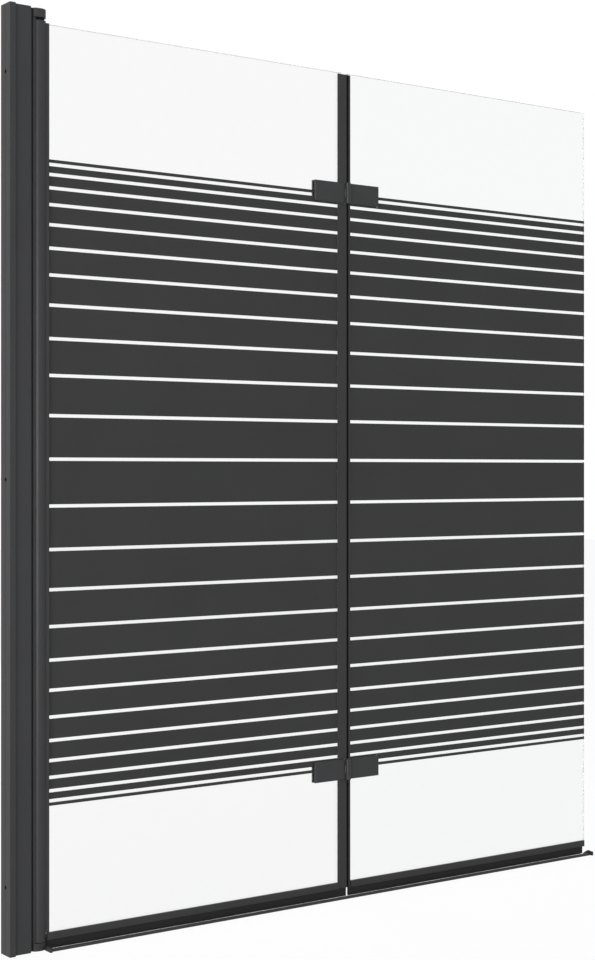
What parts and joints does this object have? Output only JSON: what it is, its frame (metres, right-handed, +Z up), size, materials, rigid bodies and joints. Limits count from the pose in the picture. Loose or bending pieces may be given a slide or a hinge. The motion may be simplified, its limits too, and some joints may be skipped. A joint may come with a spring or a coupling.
{
  "type": "folding bath screen",
  "caption": "Folding bath screen of framed glass panels with graded printed bands, pivoting on a wall channel and folding on glass-to-glass hinges, with a low threshold strip on the bath rim.",
  "frame": {"origin": "on the wall plane, in the glass's middle plane of the closed screen, at the height of the bath rim", "axes": "+X from the wall along the closed screen, +Y into the bath, +Z up"},
  "size_m": [1.1885, 0.0442, 1.4],
  "materials": {
    "frame_coat": "satin anthracite powder coat",
    "hinge_coat": "satin anthracite coat on brass",
    "steel": "plain stainless",
    "caps": "satin dark grey",
    "nylon": "satin black nylon",
    "seals": "matt dark grey",
    "black_seals": "matt black",
    "clear_gasket": "clear soft vinyl",
    "inner_glass": "polished clear",
    "outer_glass": "polished clear",
    "print": "opaque dark grey screen print",
    "tape": "foam adhesive tape"
  },
  "bodies": {
    "wall_frame": {"wall_channel": "frame_coat", "hinge_post": "frame_coat", "barrel_seal": "seals", "screw_caps": "caps", "top_bracket": "frame_coat", "bottom_bracket": "frame_coat", "bracket_screws": "steel", "top_pivot_pin": "steel", "bottom_pivot_pin": "steel", "threshold_strip": "frame_coat", "threshold_tape": "tape", "threshold_cap_wall": "caps", "threshold_cap_end": "caps"},
    "inner_panel": {"hinge_profile": "frame_coat", "upper_bush": "nylon", "lower_bush": "nylon", "glazing_gasket": "clear_gasket", "inner_glass": "inner_glass", "inner_bands": "print", "inner_edge_seal": "seals", "inner_rail": "frame_coat", "inner_lip": "black_seals", "upper_inner_leaf": "hinge_coat", "lower_inner_leaf": "hinge_coat", "upper_inner_back_plate": "hinge_coat", "lower_inner_back_plate": "hinge_coat", "inner_hinge_pads": "seals", "inner_hinge_screws": "steel", "upper_hinge_pin": "steel", "lower_hinge_pin": "steel"},
    "outer_panel": {"outer_glass": "outer_glass", "outer_bands": "print", "outer_edge_seal": "black_seals", "outer_rail": "frame_coat", "outer_lip": "black_seals", "upper_outer_leaf": "hinge_coat", "lower_outer_leaf": "hinge_coat", "upper_outer_back_plate": "hinge_coat", "lower_outer_back_plate": "hinge_coat", "outer_hinge_pads": "seals", "outer_hinge_screws": "steel"}
  },
  "joints": [
    {"name": "wall_pivot", "type": "hinge", "parent": "wall_frame", "child": "inner_panel", "pos_m": [0.0549, 0, 0.7], "axis": [0, 0, 1], "range_deg": [0, 90]},
    {"name": "panel_fold", "type": "hinge", "parent": "inner_panel", "child": "outer_panel", "pos_m": [0.6292, -0.0086, 0.7], "axis": [0, 0, -1], "range_deg": [0, 180]}
  ]
}
